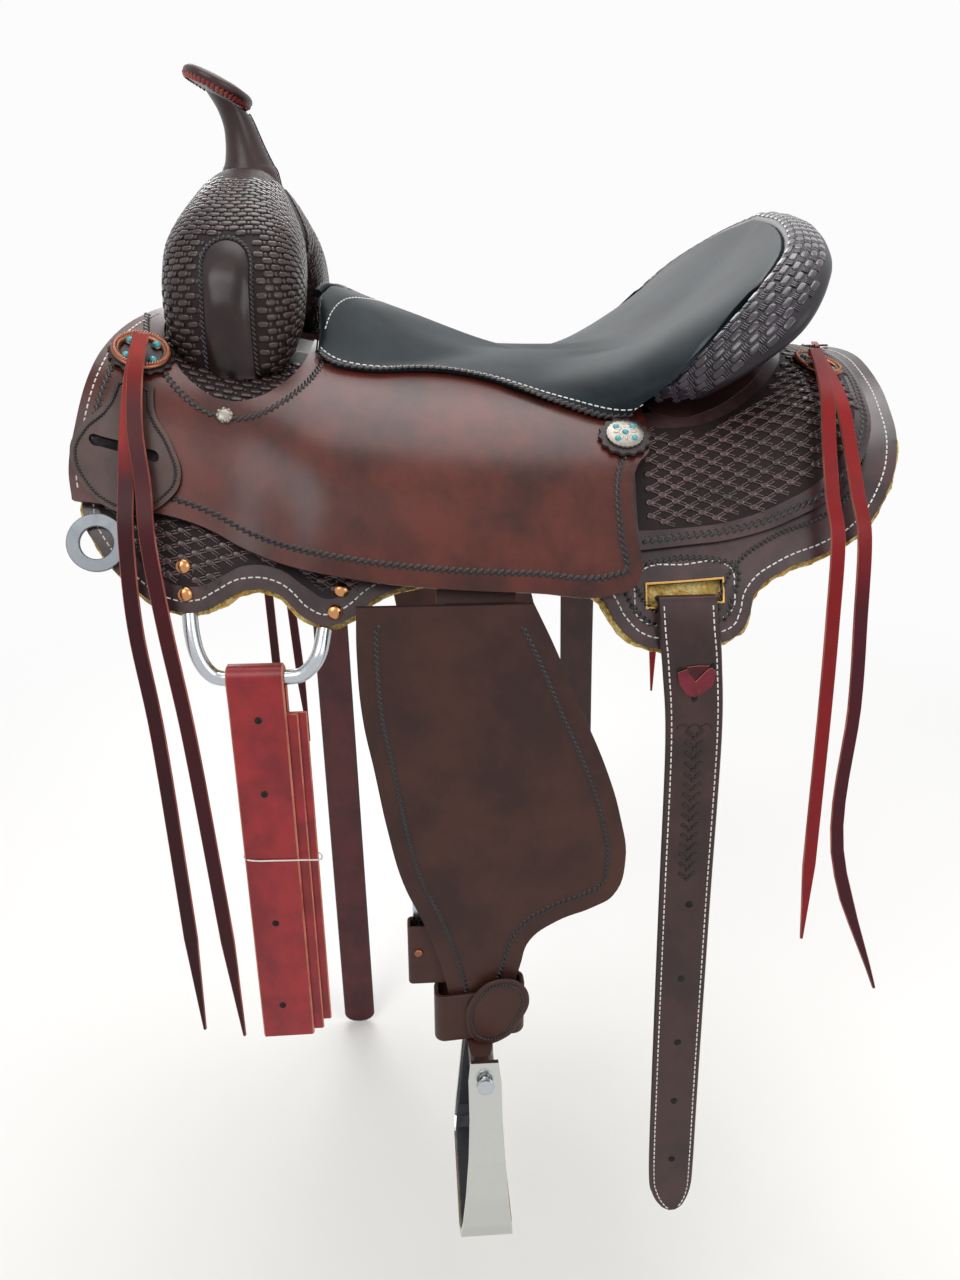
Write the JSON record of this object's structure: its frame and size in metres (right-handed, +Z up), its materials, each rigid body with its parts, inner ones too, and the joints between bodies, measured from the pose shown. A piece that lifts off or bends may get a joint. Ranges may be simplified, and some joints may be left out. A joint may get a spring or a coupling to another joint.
{
  "type": "western riding saddle",
  "caption": "Western trail saddle: fork and bars, wrapped leather skirts and jockeys, padded seat, hanging fenders, stirrups, latigo and billets.",
  "frame": {"origin": "on the centre line at the underside of the fleece, below the lowest point of the seat, where the saddle rests on the horse's back", "axes": "+Z up, +X toward the rear (the horse faces -X), -Y the near (left) side"},
  "size_m": [0.6226, 0.672, 1.2057],
  "materials": {
    "brown_leather": "smooth reddish brown skirting leather, oiled",
    "dark_stamped_leather": "dark brown basket-stamped leather",
    "black_seat_leather": "smooth black seat leather",
    "red_latigo": "bright red latigo leather with pale cut edges",
    "burgundy_latigo": "dark red latigo leather",
    "fleece": "yellow-cream sheared fleece",
    "rawhide": "rawhide over wood",
    "galvanised_steel": "galvanised sheet",
    "stainless_steel": "polished stainless steel",
    "polished_aluminium": "polished aluminium",
    "antique_copper": "antiqued copper and silver plate",
    "black_rubber": "black moulded rubber"
  },
  "bodies": {
    "tree": {"fork": "rawhide", "swell_cover": "dark_stamped_leather", "horn": "dark_stamped_leather", "horn_cap": "dark_stamped_leather", "ground_seat": "galvanised_steel", "seat": "black_seat_leather", "handhole_binding": "black_seat_leather", "cantle_roll": "dark_stamped_leather", "cantle_board": "rawhide", "cantle_back": "dark_stamped_leather", "fleece_near": "fleece", "fleece_off": "fleece", "skirt_near": "dark_stamped_leather", "skirt_off": "dark_stamped_leather", "bar_near": "rawhide", "bar_off": "rawhide", "jockey_near": "brown_leather", "jockey_off": "brown_leather", "rear_jockey_near": "brown_leather", "rear_jockey_off": "brown_leather", "leather_loop_near": "brown_leather", "leather_loop_off": "brown_leather", "rigging_dee_near": "stainless_steel", "rigging_dee_off": "stainless_steel", "front_concho_near": "antique_copper", "front_concho_off": "antique_copper", "seat_concho_near": "antique_copper", "seat_concho_off": "antique_copper", "rear_concho_near": "antique_copper", "rear_concho_off": "antique_copper", "latigo_keeper_near": "brown_leather"},
    "near_leather": {"leather_lap_near": "brown_leather"},
    "near_fender": {"fender_near": "dark_stamped_leather", "stirrup_leather_near": "brown_leather", "buckle_near": "stainless_steel", "hobble_strap_near": "brown_leather"},
    "near_sleeve": {"buckle_sleeve_near": "brown_leather"},
    "near_stirrup": {"stirrup_near": "polished_aluminium", "tread_near": "black_rubber", "stirrup_bolt_near": "stainless_steel"},
    "near_rear_billet": {"rear_billet_near": "dark_stamped_leather"},
    "near_breast_dee": {"breast_dee_near": "stainless_steel"},
    "near_latigo": {"latigo_near": "red_latigo"},
    "near_front_strings": {"front_strings_near": "red_latigo"},
    "near_rear_strings": {"rear_strings_near": "red_latigo"},
    "off_leather": {"leather_lap_off": "brown_leather"},
    "off_fender": {"fender_off": "dark_stamped_leather", "stirrup_leather_off": "brown_leather", "buckle_off": "stainless_steel", "hobble_strap_off": "brown_leather"},
    "off_sleeve": {"buckle_sleeve_off": "brown_leather"},
    "off_stirrup": {"stirrup_off": "polished_aluminium", "tread_off": "black_rubber", "stirrup_bolt_off": "stainless_steel"},
    "off_rear_billet": {"rear_billet_off": "dark_stamped_leather"},
    "off_breast_dee": {"breast_dee_off": "stainless_steel"},
    "off_billet": {"off_billet": "burgundy_latigo"},
    "off_front_strings": {"front_strings_off": "red_latigo"},
    "off_rear_strings": {"rear_strings_off": "red_latigo"}
  },
  "joints": [
    {"name": "near_fender_lift", "type": "hinge", "parent": "tree", "child": "near_leather", "pos_m": [-0.0675, -0.2666, -0.107], "axis": [-1, 0, 0], "range_deg": [0, 50]},
    {"name": "near_fender_swing", "type": "hinge", "parent": "near_leather", "child": "near_fender", "pos_m": [-0.0675, -0.269, -0.107], "axis": [0, 1, 0], "range_deg": [-8, 10]},
    {"name": "near_sleeve_slide", "type": "slide", "parent": "near_fender", "child": "near_sleeve", "axis": [0, 0, 1], "range_m": [0, 0.028]},
    {"name": "near_stirrup_turn", "type": "hinge", "parent": "near_fender", "child": "near_stirrup", "pos_m": [-0.0745, -0.269, -0.49], "axis": [0, 1, 0], "range_deg": [-18, 18]},
    {"name": "near_rear_billet_swing", "type": "hinge", "parent": "tree", "child": "near_rear_billet", "pos_m": [0.0735, -0.2504, -0.1113], "axis": [-1, 0, 0], "range_deg": [0, 70]},
    {"name": "near_breast_dee_swing", "type": "hinge", "parent": "tree", "child": "near_breast_dee", "pos_m": [-0.336, -0.2352, -0.0464], "axis": [-1, 0, 0], "range_deg": [0, 18]},
    {"name": "near_latigo_swing", "type": "hinge", "parent": "tree", "child": "near_latigo", "pos_m": [-0.233, -0.268, -0.1575], "axis": [-1, 0, 0], "range_deg": [0, 70]},
    {"name": "near_front_string_swing", "type": "hinge", "parent": "tree", "child": "near_front_strings", "pos_m": [-0.308, -0.1835, 0.0655], "axis": [-1, 0, 0], "range_deg": [0, 50]},
    {"name": "near_rear_string_swing", "type": "hinge", "parent": "tree", "child": "near_rear_strings", "pos_m": [0.201, -0.1298, 0.0493], "axis": [-1, 0, 0], "range_deg": [0, 40]},
    {"name": "off_fender_lift", "type": "hinge", "parent": "tree", "child": "off_leather", "pos_m": [-0.0675, 0.2666, -0.107], "axis": [1, 0, 0], "range_deg": [0, 50]},
    {"name": "off_fender_swing", "type": "hinge", "parent": "off_leather", "child": "off_fender", "pos_m": [-0.0675, 0.269, -0.107], "axis": [0, 1, 0], "range_deg": [-8, 7]},
    {"name": "off_sleeve_slide", "type": "slide", "parent": "off_fender", "child": "off_sleeve", "axis": [0, 0, 1], "range_m": [0, 0.028]},
    {"name": "off_stirrup_turn", "type": "hinge", "parent": "off_fender", "child": "off_stirrup", "pos_m": [-0.0745, 0.269, -0.49], "axis": [0, 1, 0], "range_deg": [-18, 18]},
    {"name": "off_rear_billet_swing", "type": "hinge", "parent": "tree", "child": "off_rear_billet", "pos_m": [0.0735, 0.2504, -0.1113], "axis": [1, 0, 0], "range_deg": [0, 70]},
    {"name": "off_breast_dee_swing", "type": "hinge", "parent": "tree", "child": "off_breast_dee", "pos_m": [-0.336, 0.2352, -0.0464], "axis": [1, 0, 0], "range_deg": [0, 18]},
    {"name": "off_billet_swing", "type": "hinge", "parent": "tree", "child": "off_billet", "pos_m": [-0.233, 0.268, -0.1575], "axis": [1, 0, 0], "range_deg": [0, 70]},
    {"name": "off_front_string_swing", "type": "hinge", "parent": "tree", "child": "off_front_strings", "pos_m": [-0.308, 0.1835, 0.0655], "axis": [1, 0, 0], "range_deg": [0, 50]},
    {"name": "off_rear_string_swing", "type": "hinge", "parent": "tree", "child": "off_rear_strings", "pos_m": [0.201, 0.1298, 0.0493], "axis": [1, 0, 0], "range_deg": [0, 40]}
  ]
}
